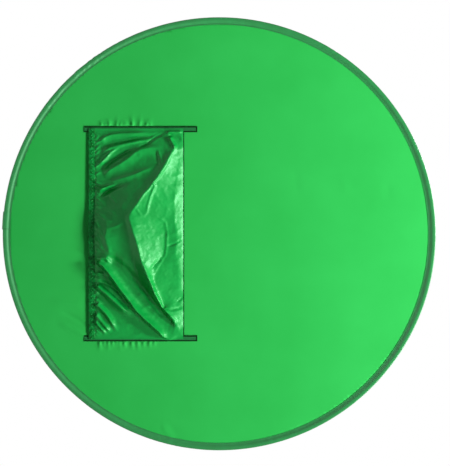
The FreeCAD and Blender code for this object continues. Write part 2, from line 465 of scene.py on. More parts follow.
# Long faint creases of the backdrop: rise in mm, reach in mm to each side, and the path in the
# photo's pixels.
backdropCreases = {
    "lightCrease": (1.2, 7, [(70, 291), (78, 292), (88, 293)]),
    "upperCrease": (-1.5, 12, [(58, 310), (70, 315), (80, 321), (88, 326)]),
    "lowerCrease": (1.6, 14, [(55, 322), (66, 326), (78, 331), (90, 338)]),
    "sideFold": (1.0, 26, [(48, 300), (66, 303), (86, 306)]),
    "rimFold": (1.4, 12, [(160, 425), (166, 431), (174, 439)]),
    "rimFoldTwo": (-1.2, 12, [(166, 423), (173, 430), (181, 437)]),
    "rightMarkOne": (-0.7, 16, [(292, 166), (296, 182), (299, 200)]),
    "rightMarkTwo": (0.8, 18, [(341, 176), (345, 186), (346, 197)]),
    "rightMarkThree": (-0.8, 18, [(384, 180), (388, 190), (388, 202)]),
}


def puckerHeights(x, z):
    # small gathers in the backdrop where the side tapes are sewn on
    rng = random.Random(backdrop["seed"])
    rise = np.zeros(len(x))
    for side, starts in puckers.items():
        out = side * x - backdrop["tapeEdge"]
        for across, strength in starts:
            lean = rng.uniform(-backdrop["puckerLean"], backdrop["puckerLean"])
            length = backdrop["puckerLength"] * rng.uniform(*backdrop["puckerLengths"])
            width = backdrop["puckerWidth"] * (1 + np.maximum(out, 0) / length)
            up = (across - seamAcross) * metresPerPixel
            off = (z - up - lean * out) / width
            start = smoothStep(*backdrop["puckerStart"], out)
            fade = start * np.clip(1 - out / length, 0, 1) ** backdrop["puckerTaper"]
            rise += strength * backdrop["puckerHeight"] * fade * np.exp(-off * off)
    return rise


def creaseHeights(x, z):
    across = seamAcross + z / metresPerPixel
    down = photo["discDown"] + x / metresPerPixel
    rise = np.zeros(len(x))
    for height, reach, path in backdropCreases.values():
        crease = (height, (reach, reach), backdrop["creaseCrisp"], backdrop["creaseFade"], path)
        rise += foldHeights(across, down, crease)
    return rise


def gridLines(fine):
    # lines across the disc, closer together where the cloth is gathered or creased
    start = -disc["clothRadius"]
    lines = [start]
    while lines[-1] < disc["clothRadius"]:
        steps = [step for low, high, step in fine if low <= lines[-1] < high]
        lines.append(lines[-1] + (min(steps) if steps else backdrop["cell"]))
    return np.array(lines)


def makeBackdrop(material):
    sides = [(-high, -low, step) for low, high, step in backdrop["fineAcross"]]
    acrossLines = gridLines(backdrop["fineAcross"] + sides)
    upLines = gridLines([(low - disc["centreUp"], high - disc["centreUp"], step)
                         for low, high, step in backdrop["fineUp"]])
    rows, columns = len(acrossLines) - 1, len(upLines) - 1
    bm = bmesh.new()
    bmesh.ops.create_grid(bm, x_segments=rows, y_segments=columns, size=1)
    for v in bm.verts:
        v.co.x = acrossLines[round((v.co.x + 1) / 2 * rows)]
        v.co.y = upLines[round((v.co.y + 1) / 2 * columns)]
    outside = [v for v in bm.verts if v.co.length > disc["clothRadius"]]
    bmesh.ops.delete(bm, geom=outside, context="VERTS")
    for v in bm.verts:
        if v.is_boundary:
            v.co = v.co.normalized() * disc["clothRadius"]
    upright = Matrix.Translation((0, 0, disc["centreUp"])) @ Matrix.Rotation(math.pi / 2, 4, "X")
    bmesh.ops.transform(bm, matrix=upright, verts=bm.verts)
    x = np.array([v.co.x for v in bm.verts])
    z = np.array([v.co.z for v in bm.verts])
    for v, rise in zip(bm.verts, puckerHeights(x, z) + creaseHeights(x, z)):
        v.co.y -= rise
    bmesh.ops.recalc_face_normals(bm, faces=bm.faces)
    bm.faces.ensure_lookup_table()
    if bm.faces[0].normal.y < 0:
        bmesh.ops.reverse_faces(bm, faces=bm.faces)
    piece = meshPiece("backdrop_cloth", bm, material)
    solidify(piece, disc["clothThick"], offset=1.0)
    return piece


# pocket panel

panel = {
    "halfWidth": 345 * mm,
    "depth": 294 * mm,
    "cell": 2.3 * mm,
    "thick": 0.9 * mm,
    "base": 1.8 * mm,
    "hem": 9 * mm,
    "tipReach": 13 * mm,
    "tipPlace": (169, 333),  # of the lower right fold, in the photo's pixels
    "mouthRise": 1.5 * mm,
    "mouthPuff": 4 * mm,
    "mouthPuffAt": -10 * mm,
    "mouthPuffReach": 60 * mm,
    "mouthFade": (3 * mm, 9 * mm),  # the folds come up between these distances from the mouth
    "sideFade": (0.6, 1.6),  # and between these from the sides, in hems
    "seamFade": (0, 6 * mm),
    "gatherHeight": 9 * mm,
    "gatherWidth": 3.2 * mm,
    "gatherAtMouth": 0.6,  # of that width, where a gather leaves the casing; it widens from there
    "crumpleSize": 38 * mm,
    "crumpleHeight": 1.4 * mm,
    "crumpleLayer": 3.7,  # which layer of the noise is used
    "fineCrumple": (2.7, 0.35),  # how many times finer, and its share
    "lowest": 0.2 * mm,
    "smoothRounds": 1,
    "tipSpread": (7, 5),  # of the overhanging tip, in pixels
    "tipSlope": 3,
    "tentCells": (16 * mm, 8 * mm, 4 * mm),
    "tentRounds": 300,
    "lineReach": 0.6,  # of a cell, to each side of a tent line
}

# The broad form of the slack cloth: across and down in the photo's pixels, height in mm.
tentLines = {
    "crest": [(175, 147, 14), (168, 158, 27), (160, 172, 38), (150, 187, 46), (143, 195, 50),
              (136, 206, 53), (129, 216, 55), (132, 226, 56), (135, 236, 56), (138, 245, 55),
              (142, 262, 51), (150, 280, 45), (155, 293, 39), (162, 307, 30), (170, 316, 21),
              (176, 325, 11)],
    "upperFoot": [(165, 152, 14), (155, 167, 25), (145, 180, 33), (137, 188, 37), (128, 199, 40),
                  (121, 208, 41)],
    "lowerFoot": [(125, 221, 41), (128.5, 234, 41), (130.5, 247, 36), (133, 259, 28),
                  (137, 272, 19), (147, 290, 11), (156, 304, 7), (165, 315, 5), (172, 322, 4)],
    "fanRise": [(109, 146, 6), (111, 160, 7), (111, 178, 8), (108, 192, 10)],
    "patchEdge": [(158, 227, 20), (165, 231, 13), (165, 246, 11), (162, 259, 13), (155, 270, 22),
                  (152, 277, 27), (156, 288, 23), (160, 298, 18), (164, 307, 12)],
    "patchTop": [(136, 225, 54), (147, 226, 36), (158, 227, 20)],
    "seamRoll": [(179, 158, 6), (177, 172, 10), (175, 183, 13), (174, 196, 17), (174.5, 207, 15),
                 (174, 220, 16), (177, 236, 9), (175, 252, 11), (178, 270, 6), (178, 288, 6)],
    "puff": [(106, 204, 16), (104.5, 214, 21), (107.5, 226, 31), (105.5, 237, 33), (109, 250, 31)],
}

# Folds: rise in mm, reach in mm to the left and right of the path, how crisp the ridge is, the
# shares of the path over which it fades in and out, and the path in the photo's pixels.
folds = {
    "upperArm": (3, (9, 7), 0.9, (0.1, 0.3),
                 [(175, 147), (168, 158), (160, 172), (150, 187), (143, 195), (136, 206),
                  (128, 217)]),
    "lowerArm": (3, (10, 7), 0.9, (0.3, 0.12),
                 [(129, 214), (133, 230), (138, 245), (142, 262), (150, 280), (155, 293),
                  (162, 307), (170, 316), (176, 325)]),
    "rightFold": (28, (30, 10), 0.9, (0.03, 0.1),
                  [(96, 261), (103, 266), (109, 273), (116, 283), (123, 293), (129, 301),
                   (136, 310), (144, 318), (155, 328), (167, 338)]),
    "rightCap": (12, (12, 10), 0.5, (0.03, 0.4), [(95, 258), (100, 257), (106, 258), (112, 264)]),
    "crestValley": (-11, (22, 22), 0.3, (0.1, 0.2),
                    [(108, 254), (124, 267), (134, 277), (145, 291), (155, 304), (165, 315),
                     (173, 323)]),
    "leaf": (16, (16, 16), 0.25, (0.03, 0.3), [(96, 285), (106, 293), (117, 303), (131, 315)]),
    "leafValley": (-8, (12, 12), 0.5, (0.1, 0.3),
                   [(98, 279), (110, 285), (120, 292), (129, 302), (134, 311)]),
    "lowValley": (-9, (18, 22), 0.4, (0.05, 0.25),
                  [(96, 292), (103, 301), (110, 309), (118, 315), (130, 319), (145, 327),
                   (160, 335)]),
    "smallFold": (9, (10, 9), 0.5, (0.05, 0.4), [(96, 272), (105, 274), (113, 281)]),
    "rayA": (8, (8, 7), 0.8, (0.05, 0.4), [(96, 297), (106, 305)]),
    "rayB": (13, (16, 9), 0.8, (0.03, 0.4), [(96, 303), (105, 312), (112, 323), (117, 332)]),
    "rayC": (13, (14, 8), 0.8, (0.03, 0.3), [(95, 314), (102, 322), (110, 332)]),
    "rayD": (11, (10, 7), 0.8, (0.03, 0.3), [(94.5, 320), (100, 327), (106, 334)]),
    "bowFold": (8, (8, 18), 0.8, (0.1, 0.4),
                [(99, 141), (104, 137), (110, 134.5), (120, 133), (135, 132.5), (152, 132)]),
    "bowValley": (-8, (12, 11), 0.8, (0.2, 0.3),
                  [(97, 148), (104, 145), (112, 142), (125, 140), (137, 137), (150, 136),
                   (163, 131)]),
    "secondFold": (8, (10, 12), 0.9, (0.2, 0.3),
                   [(99, 155), (107, 149), (116, 145.5), (128, 143), (140, 140.5), (152, 138)]),
    "secondValley": (-6, (8, 8), 0.9, (0.2, 0.2), [(137, 147), (147, 143), (155, 137), (165, 132)]),
    "streakFold": (9, (10, 12), 0.8, (0.15, 0.5),
                   [(98, 165), (105, 158), (110, 152), (118, 147), (124, 144)]),
    "streakValley": (-9, (14, 12), 0.6, (0.2, 0.3),
                     [(99, 171), (108, 163), (117, 157), (127, 151), (137, 146)]),
    "planeEdge": (10, (14, 36), 0.9, (0.15, 0.35),
                  [(102, 175), (112, 168), (120, 163.5), (128, 158), (135, 152), (141, 149),
                   (152, 147), (165, 148)]),
    "planeTriangle": (5, (10, 12), 0.9, (0.2, 0.2), [(157, 150), (160, 156), (162, 163)]),
    "planeCrease": (-4, (8, 8), 0.9, (0.2, 0.2), [(156, 150), (157, 158), (158, 166)]),
    "lightCrease": (6, (14, 16), 0.9, (0.2, 0.3),
                    [(104, 181), (112, 181), (120, 178.5), (130, 176), (140, 172), (150, 168),
                     (157, 165)]),
    "underFold": (12, (15, 12), 0.9, (0.05, 0.5), [(98, 191), (103, 188), (109, 186), (118, 184)]),
    "underValley": (-8, (12, 14), 0.7, (0.2, 0.4),
                    [(97, 198), (103, 194), (108, 190), (115, 187), (122, 184.5), (132, 182)]),
    "tickOne": (4, (6, 6), 0.9, (0.2, 0.2), [(109, 194), (117, 204)]),
    "tickTwo": (4, (6, 6), 0.9, (0.2, 0.2), [(103, 208), (110, 211), (118, 216)]),
    "facetTop": (3, (10, 8), 0.9, (0.2, 0.3), [(107, 228), (116, 226), (126, 221)]),
    "innerCrease": (4, (9, 6), 0.9, (0.2, 0.2),
                    [(173, 152), (165, 167), (158, 178), (153, 182), (155, 186), (151, 195),
                     (148, 205), (147, 212), (143, 217)]),
    "shadeStreakOne": (5, (9, 9), 0.9, (0.1, 0.3), [(96, 220), (99, 229), (104, 238)]),
    "shadeStreakTwo": (5, (8, 8), 0.9, (0.1, 0.3), [(96, 233), (99, 242), (103, 250)]),
    "shadeStreakThree": (4, (8, 8), 0.9, (0.1, 0.3), [(98, 213), (105, 219), (113, 222)]),
    "shortTick": (3, (6, 6), 0.9, (0.3, 0.3), [(136, 208), (142, 216)]),
    "patchEdge": (2.5, (8, 8), 0.8, (0.2, 0.2),
                  [(148, 212), (158, 217), (165, 222), (167, 233), (166, 246), (165, 254),
                   (155, 270), (152, 276), (154, 284), (158, 292), (161, 302), (164, 308)]),
    "patchCrease": (-4, (10, 10), 0.8, (0.2, 0.4), [(161, 257), (155, 263), (149, 271)]),
    "sideCrease": (-3, (7, 7), 0.9, (0.2, 0.2), [(167, 246), (175, 243), (181, 239)]),
    "crossCrease": (-5, (10, 8), 0.8, (0.2, 0.2), [(163, 308), (172, 309), (182, 307)]),
    "tipEdge": (4, (8, 8), 0.9, (0.1, 0.2), [(163, 307), (170, 314), (177, 322)]),
    "nick": (-3, (5, 5), 0.9, (0.3, 0.3), [(176, 302), (183, 296)]),
    "cornerTop": (14, (10, 8), 0.9, (0.1, 0.2), [(166, 131.5), (174, 131), (182, 131)]),
    "cornerCut": (-8, (8, 8), 0.9, (0.2, 0.3), [(168, 134.5), (176, 136.5), (181, 140)]),
    "cornerCurl": (13, (14, 9), 0.8, (0.1, 0.2), [(169, 136), (171, 141), (174, 146), (175, 149)]),
}


def pathDistance(across, down, path):
    # distance to a path, the side (-1 left, 1 right) and the share of its length
    corners = np.array(path, float)
    steps = np.hypot(*(corners[1:] - corners[:-1]).T)
    total = steps.sum()
    best = np.full(across.shape, 1e9)
    side = np.zeros(across.shape)
    share = np.zeros(across.shape)
    before = 0.0
    for start, end, step in zip(corners, corners[1:], steps):
        run = (end - start) / step
        a = across - start[0]
        b = down - start[1]
        along = np.clip(a * run[0] + b * run[1], 0, step)
        distance = np.hypot(a - along * run[0], b - along * run[1])
        nearer = distance < best
        best = np.where(nearer, distance, best)
        side = np.where(nearer, (b * run[0] - a * run[1]) / np.maximum(distance, 1e-6), side)
        share = np.where(nearer, (before + along) / total, share)
        before += step
    return best, np.clip(side, -1, 1), share


def foldHeights(across, down, fold):
    rise, reach, crisp, fade, path = fold
    distance, side, share = pathDistance(across, down, path)
    width = (reach[0] * (1 - side) + reach[1] * (1 + side)) / 2 * mm / metresPerPixel
    u = np.clip(distance / width, 0, 1)
    profile = crisp * (1 - u) ** 2 + (1 - crisp) * (1 - u) ** 2 * (1 + 2 * u)
    start = smoothStep(-1e-3, fade[0], share) if fade[0] else 1.0
    end = smoothStep(-1e-3, fade[1], 1 - share) if fade[1] else 1.0
    return rise * mm * profile * start * end


def relax(heights, known, rounds):
    for _ in range(rounds):
        spread = heights.copy()
        spread[1:-1, 1:-1] = (heights[2:, 1:-1] + heights[:-2, 1:-1]
                              + heights[1:-1, 2:] + heights[1:-1, :-2]) / 4
        heights = np.where(known, heights, spread)
    return heights


def enlarge(coarse, shape):
    rows = np.linspace(0, coarse.shape[0] - 1, shape[0])
    columns = np.linspace(0, coarse.shape[1] - 1, shape[1])
    i = np.minimum(rows.astype(int), coarse.shape[0] - 2)
    j = np.minimum(columns.astype(int), coarse.shape[1] - 2)
    s = (rows - i)[:, None]
    t = (columns - j)[None, :]
    return ((1 - s) * (1 - t) * coarse[i][:, j] + s * (1 - t) * coarse[i + 1][:, j]
            + (1 - s) * t * coarse[i][:, j + 1] + s * t * coarse[i + 1][:, j + 1])


def panelGrid(cell):
    rows = 2 * round(panel["halfWidth"] / cell) + 1
    columns = round(panel["depth"] / cell) + 1
    x = np.linspace(-panel["halfWidth"], panel["halfWidth"], rows)[:, None]
    fall = np.linspace(0, panel["depth"], columns)[None, :]
    across = seamAcross - fall / metresPerPixel + 0 * x
    down = photo["discDown"] + x / metresPerPixel + 0 * fall
    return x + 0 * fall, fall + 0 * x, across, down


def mouthHeight(x):
    # a low bow along the mouth, with a puff near its middle
    off = (x - panel["mouthPuffAt"]) / panel["mouthPuffReach"]
    bow = 1 - (x / panel["halfWidth"]) ** 2
    return panel["mouthRise"] * bow + panel["mouthPuff"] * np.exp(-off * off)


def tentHeights(shape):
    # the broad form: a membrane over the crest, the mouth and the three sewn edges
    heights = None
    for cell in panel["tentCells"]:
        x, fall, across, down = panelGrid(cell)
        heights = np.zeros(x.shape) if heights is None else enlarge(heights, x.shape)
        known = np.zeros(x.shape, bool)
        for line in tentLines.values():
            path = np.array(line)[:, :2]
            lengths = np.hypot(*np.diff(path, axis=0).T)
            shares = np.concatenate([[0], np.cumsum(lengths)]) / lengths.sum()
            distance, _, share = pathDistance(across, down, path)
            near = distance < panel["lineReach"] * cell / metresPerPixel
            heights = np.where(near, np.interp(share, shares, np.array(line)[:, 2] * mm), heights)
            known |= near
        heights[:, 0] = 0
        heights[:, -1] = mouthHeight(x[:, -1])
        hem = panel["halfWidth"] - abs(x) < panel["hem"]
        heights = np.where(hem, 0, heights)
        known |= hem
        known[:, 0] = known[:, -1] = True
        heights = relax(heights, known, panel["tentRounds"])
    return enlarge(heights, shape)


# The short gathers that the elastic draws in: where each leaves the casing, down the photo in its
# pixels, how far it runs across, how far it moves down on the way, and its share of the height.
mouthGathers = [
    (134, 8, 3, 0.5), (139, 6, -3, 0.5), (144, 12, -6, 0.7), (150, 7, -5, 0.8), (155, 9, -7, 0.6),
    (160, 7, -5, 0.9), (168, 12, -9, 0.8), (175, 10, -5, 0.6), (181, 9, 3, 1.3), (186, 14, 4, 1.4),
    (190, 8, 6, 0.7), (195, 13, 10, 1.0), (200, 7, 4, 0.6), (205, 11, 3, 1.1), (210, 12, 8, 0.9),
    (216, 9, 4, 0.8), (221, 11, 9, 1.0), (228, 12, 9, 0.9), (235, 9, 7, 1.0), (241, 13, 11, 1.0),
    (247, 8, 6, 0.8), (253, 6, 2, 0.7), (264, 9, 7, 0.7), (270, 11, 7, 0.8), (276, 13, 6, 0.9),
    (283, 10, 5, 0.7), (290, 12, 9, 0.8), (297, 10, 9, 1.0), (303, 13, 12, 1.1), (309, 10, 10, 0.9),
    (315, 12, 13, 1.1), (321, 10, 9, 1.0), (327, 8, 7, 0.8), (332, 6, 4, 0.5),
]


def gatherHeights(x, fall):
    toMouth = np.clip(panel["depth"] - fall, 0, None)
    rise = np.zeros(x.shape)
    for down, run, drop, share in mouthGathers:
        reach = run * metresPerPixel
        place = (down - photo["discDown"]) * metresPerPixel + drop / run * toMouth
        off = (x - place) / (panel["gatherWidth"] * (panel["gatherAtMouth"] + toMouth / reach))
        fade = np.clip(1 - toMouth / reach, 0, 1)
        rise += share * panel["gatherHeight"] * np.exp(-off * off) * fade
    return rise


def crumpleHeights(x, fall):
    # faint sharp creases that the coated cloth keeps from being folded
    size = panel["crumpleSize"]
    finer, fineShare = panel["fineCrumple"]
    rise = np.zeros(x.shape)
    for i in range(x.shape[0]):
        for j in range(x.shape[1]):
            spot = Vector((x[i, j] / size, fall[i, j] / size, panel["crumpleLayer"]))
            wide = 1 - 2 * abs(noise.noise(spot))
            fine = 1 - 2 * abs(noise.noise(spot * finer))
            rise[i, j] = (wide + fineShare * fine) * panel["crumpleHeight"]
    return rise


def panelHeights(x, fall, across, down):
    # the broad form, with the folds and the gathers on it, which all end at the sewn edges
    tent = tentHeights(x.shape)
    detail = crumpleHeights(x, fall)
    for fold in folds.values():
        detail += foldHeights(across, down, fold)
    toSide = (panel["halfWidth"] - abs(x)) / panel["hem"]
    edge = smoothStep(*panel["sideFade"], toSide) * smoothStep(*panel["seamFade"], fall)
    mouth = smoothStep(*panel["mouthFade"], panel["depth"] - fall)
    heights = tent + (detail * edge + gatherHeights(x, fall)) * mouth
    return relax(np.maximum(heights, panel["lowest"]), False, panel["smoothRounds"])


def makePanel(material):
    x, fall, across, down = panelGrid(panel["cell"])
    # the end of the lower right fold lies over the tape
    offTip = [(place - tip) / spread for place, tip, spread
              in zip((across, down), panel["tipPlace"], panel["tipSpread"])]
    overhang = panel["tipReach"] * np.exp(-offTip[0] ** 2 - offTip[1] ** 2)
    heights = panelHeights(x, fall, across, down) + overhang / panel["tipSlope"]
    points = np.stack([x + overhang, -(panel["base"] + heights), -fall], axis=2)
    return splitAtMiddle("pocket_panel", points, surfaceNormals(points, wrap=False), material,
                         panel["thick"])


# edge binding, folded over the hoop

binding = {
    "segments": 1116,
    "thick": 0.8 * mm,
    "wrinkleLength": 11 * mm,
    "wrinkleBreadth": 14 * mm,
    "wrinkleHeight": 0.5 * mm,
    "wrinkleFrom": (689, 693),  # the radius in mm over which they come up from the sewn edge
    "sideApart": 5,  # keeps the two sides' wrinkles apart in the noise
    "evenWrinkles": 0.25,
    "lapFrom": -73 * mm,  # along the rim from its lowest point
    "lapTo": -14 * mm,
    "lapRows": 30,
    "lapRise": 1.3 * mm,
    "lapSeams": (-18 * mm, -15 * mm),  # two rows of stitches across the lap's end
    "lapStitches": (3, 5, 6, 7, 8, 9),  # the profile's points that they start from
    "lapStitchSize": 1.7,
    "lapStitchLift": 0.4 * mm,
    "stitchRadius": 688.4 * mm,
    "stitchDepth": 1.15 * mm,
    "stitchPitch": 5 * mm,
    # radius and half thickness in mm, from the sewn edge over the strip to the rim
    "profile": [(686, 1.35), (687.3, 1.4), (688.4, 1.05), (689.5, 1.3), (691.2, 1.5), (693, 2.3),
                (695.2, 3.6), (697.6, 4.95), (699.8, 5.65), (702.4, 5.85), (706.8, 5.85),
                (708.6, 5.4), (709.6, 4.3), (710, 3.0)],
}
tapeProfile = binding["profile"] + [(r, -d) for r, d in reversed(binding["profile"])]

# Places where the binding is wrinkled: the photo's pixels, reach in mm along the rim, strength.
bindingWrinkles = [((97, 70), 95, 2.2), ((60, 105), 60, 1.2), ((333, 52), 30, 1.5),
                   ((168, 445), 45, 1.6), ((395, 360), 60, 0.8)]


def rimAngle(across, down):
    # 0 at the disc's lowest point, growing towards +X
    return math.atan2(down - photo["discDown"], photo["discAcross"] - across)


def rimPoints(angles, rise):
    # points of the tape's outer face around the rim, raised off its profile
    middle = disc["clothThick"] / 2
    section = np.array([(r * mm, middle - d * mm) for r, d in tapeProfile])
    along = np.gradient(section, axis=0)
    outward = np.stack([along[:, 1], -along[:, 0]], axis=1)
    outward /= np.linalg.norm(outward, axis=1, keepdims=True)
    raised = section[:, None, :] + outward[:, None, :] * rise[:, :, None]
    x = raised[..., 0] * np.sin(angles)
    z = disc["centreUp"] - raised[..., 0] * np.cos(angles)
    return np.stack([x, raised[..., 1], z], axis=2)


def wrinkleStrength(angle):
    strength = binding["evenWrinkles"]
    for spot, reach, extra in bindingWrinkles:
        off = (angle - rimAngle(*spot) + math.pi) % (2 * math.pi) - math.pi
        strength += extra * math.exp(-(off * disc["radius"] / (reach * mm)) ** 2)
    return strength


def wrinkleRise(angles):
    # cross wrinkles, which fade out at the sewn edge
    rise = np.zeros((len(tapeProfile), len(angles)))
    for j, angle in enumerate(angles):
        strength = wrinkleStrength(angle) * binding["wrinkleHeight"]
        turn = Vector((math.sin(angle), math.cos(angle), 0)) * disc["radius"]
        for i, (radius, depth) in enumerate(tapeProfile):
            fade = smoothStep(*binding["wrinkleFrom"], radius)
            side = math.copysign(binding["sideApart"], depth)
            spot = turn / binding["wrinkleLength"]
            spot.z = radius * mm / binding["wrinkleBreadth"] + side
            rise[i, j] = strength * fade * noise.noise(spot)
    return rise


def makeBinding(material):
    angles = np.linspace(0, 2 * math.pi, binding["segments"] + 1)
    points = rimPoints(angles, wrinkleRise(angles))
    points[:, -1] = points[:, 0]
    return gridPiece("edge_binding_tape", points, surfaceNormals(points, wrap=True), material,
                     binding["thick"], closed=True)


def makeLap(material):
    # the tape's end, folded over its beginning
    along = np.linspace(binding["lapFrom"], binding["lapTo"], binding["lapRows"])
    angles = along / disc["radius"]
    points = rimPoints(angles, binding["lapRise"] + wrinkleRise(angles))
    return gridPiece("edge_binding_lap", points, surfaceNormals(points, wrap=False), material,
                     binding["thick"])


# stitches

thread = {"radius": 0.45 * mm, "length": 4.2 * mm, "around": 6, "along": 5}


def repeat(bm, before, count, step, turn):
    # copies all that was made since before, each moved on by a step or turned about the disc's axis
    verts = [v for v in bm.verts if v not in before]
    edges = {edge for v in verts for edge in v.link_edges}
    faces = {face for v in verts for face in v.link_faces}
    bmesh.ops.spin(bm, geom=verts + list(edges) + list(faces), cent=(0, 0, disc["centreUp"]),
                   axis=(0, -1, 0), angle=turn * (count - 1), steps=count - 1, dvec=step,
                   use_duplicate=True)


def stitchRow(bm, spot, run, count, step=(0, 0, 0), turn=0.0, size=1.0):
    # one spindle of thread, repeated to a short row, and that row repeated to the whole one
    before = set(bm.verts)
    radius = thread["radius"] * size
    shape = Matrix.Diagonal((radius, radius, thread["length"] / 2, 1))
    turned = Vector(run).to_track_quat("Z", "Y").to_matrix().to_4x4()
    bmesh.ops.create_uvsphere(bm, u_segments=thread["around"], v_segments=thread["along"], radius=1,
                              matrix=Matrix.Translation(spot) @ turned @ shape)
    short = next(n for n in range(math.isqrt(count), 0, -1) if count % n == 0)
    if short > 1:
        repeat(bm, before, short, step, turn)
    if count > short:
        repeat(bm, before, count // short, Vector(step) * short, turn * short)


def bindingStitches(material):
    # one row on each side of the disc, in a count that divides into shorter rows, and short rows
    # across the end of the lap
    count = 10 * round(2 * math.pi * binding["stitchRadius"] / binding["stitchPitch"] / 10)
    bm = bmesh.new()
    for side in (-1, 1):
        depth = disc["clothThick"] / 2 + side * binding["stitchDepth"]
        spot = (0, depth, disc["centreUp"] - binding["stitchRadius"])
        stitchRow(bm, spot, (1, 0, 0), count, turn=2 * math.pi / count)
    rise = np.full((len(tapeProfile), 1), binding["lapRise"] + binding["lapStitchLift"])
    for along in binding["lapSeams"]:
        seam = rimPoints(np.array([along / disc["radius"]]), rise)[:, 0]
        for i in binding["lapStitches"]:
            stitchRow(bm, Vector((seam[i] + seam[i + 1]) / 2), seam[i + 1] - seam[i], 1,
                      size=binding["lapStitchSize"])
    return meshPiece("edge_binding_stitches", bm, material)


# mouth casing, with the elastic inside

casing = {
    "cell": 2.2 * mm,
    "halfWidth": 345 * mm,
    "top": -289 * mm,
    "bottom": -311 * mm,
    "middle": -300 * mm,
    "inner": 1.3 * mm,
    "thick": 2.9 * mm,
    "wall": 0.5 * mm,
    "faceInset": 0.4 * mm,  # of the cloth between two ripples
    "around": 25,
    "roundness": (0.8, 0.6),  # of the tube's section, up and out; 1 is an ellipse, 0 a box
    "rippleSpacing": 11.5 * mm,
    "rippleHeight": 1.3 * mm,
    "rippleBreadth": 0.35 * mm,  # how far a ripple pushes the tube's two edges out
    "rippleLean": 7 * mm,  # how far it runs along the mouth on its way across
    "rippleDrift": 0.9,
    "rippleDriftScale": 14,
    "rippleDriftLayer": 2.5,  # which layer of the noise is used
    "rippleCrisp": 0.7,
    "rippleEnd": 20 * mm,  # over which the ripples die out at the two sides
    "stitchInset": 2.4 * mm,
    "stitchPitch": 5 * mm,
    "stitchSink": 0.5 * mm,
    # rows of tucks: up from the casing's middle, direction, pitch in ripple spacings
    "tucks": [(2.5 * mm, (0.75, 0, 0.65), 1), (-1 * mm, (0.6, 0, 0.8), 1.7)],
    "tuckSize": 4.6,
    "tuckLift": 0.9 * mm,
}

elastic = {
    "width": 16 * mm,
    "thick": 1.2 * mm,
    "halfWidth": 341 * mm,
    "rows": 121,
    "around": 13,
    "flatness": 1.3,
}


def rippleShape(x, share):
    # the gathers of the casing, 0 to 1, uneven in spacing and slanted across its width
    scale, layer = casing["rippleDriftScale"], casing["rippleDriftLayer"]
    drift = [noise.noise(Vector((a * scale, layer, b))) for a, b in zip(x.ravel(), share.ravel())]
    place = (x + casing["rippleLean"] * (share - 0.5)) / casing["rippleSpacing"]
    place = place + casing["rippleDrift"] * np.reshape(drift, x.shape)
    return np.abs(np.sin(math.pi * place)) ** casing["rippleCrisp"]


def casingPoints():
    # rows along the mouth, columns around the flat tube
    rows = 2 * round(casing["halfWidth"] / casing["cell"]) + 1
    turns = np.linspace(0, 2 * math.pi, casing["around"])[None, :]
    x = np.linspace(-casing["halfWidth"], casing["halfWidth"], rows)[:, None] + 0 * turns
    up = np.sign(np.cos(turns)) * np.abs(np.cos(turns)) ** casing["roundness"][0]
    out = np.sign(np.sin(turns)) * np.abs(np.sin(turns)) ** casing["roundness"][1]
    ripple = rippleShape(x, (1 - up) / 2 + 0 * x)
    ripple *= smoothStep(0, casing["rippleEnd"], casing["halfWidth"] - abs(x))
    middle = casing["inner"] + casing["thick"] / 2 + mouthHeight(x)
    halfThick = casing["thick"] / 2 - casing["faceInset"]
    halfWide = (casing["top"] - casing["bottom"]) / 2 + ripple * casing["rippleBreadth"]
    swell = ripple * casing["rippleHeight"] * np.maximum(out, 0)
    points = np.stack([x, -(middle + out * halfThick + swell), casing["middle"] + up * halfWide],
                      axis=2)
    points[:, -1] = points[:, 0]
    return points


def makeCasing(material):
    points = casingPoints()
    return splitAtMiddle("mouth_casing", points, surfaceNormals(points, wrap=True), material,
                         casing["wall"], closed=True)


def makeElastic(material):
    half = elastic["halfWidth"]
    turns = np.linspace(0, 2 * math.pi, elastic["around"])[None, :]
    x = np.linspace(-half, half, elastic["rows"])[:, None] + 0 * turns
    middle = casing["inner"] + casing["thick"] / 2 + mouthHeight(x)
    up = np.clip(elastic["flatness"] * np.cos(turns), -1, 1) * elastic["width"] / 2
    out = np.sin(turns) * elastic["thick"] / 2
    points = np.stack([x, -(middle + out), casing["middle"] + up + 0 * x], axis=2)
    points[:, -1] = points[:, 0]
    return splitAtMiddle("mouth_elastic", points, surfaceNormals(points, wrap=True), material,
                         closed=True)


def casingRows(name, rows, material, size=1.0, lift=0.0):
    # rows along the casing (up, direction, pitch), in two halves that follow the joint's blend
    depth = casing["inner"] + casing["thick"] - casing["stitchSink"] + lift
    pieces = []
    for side, sign in (("left", -1), ("right", 1)):
        bm = bmesh.new()
        for up, run, pitch in rows:
            stitchRow(bm, (sign * pitch / 2, -depth, up), run, round(casing["halfWidth"] / pitch),
                      step=(sign * pitch, 0, 0), size=size)
        for v in bm.verts:
            v.co.y -= mouthHeight(v.co.x)
        pieces.append(meshPiece(name + "_" + side, bm, material))
    return pieces


def casingStitches(material):
    edges = (casing["top"] - casing["stitchInset"], casing["bottom"] + casing["stitchInset"])
    return casingRows("casing_stitches", [(up, (1, 0, 0), casing["stitchPitch"]) for up in edges],
                      material)


def casingTucks(material):
    # small bright slanted tucks of the face cloth, caught between the two rows of stitches
    rows = [(casing["middle"] + off, run, times * casing["rippleSpacing"])
            for off, run, times in casing["tucks"]]
    return casingRows("casing_tucks", rows, material, casing["tuckSize"], casing["tuckLift"])


# tapes sewn to the backdrop

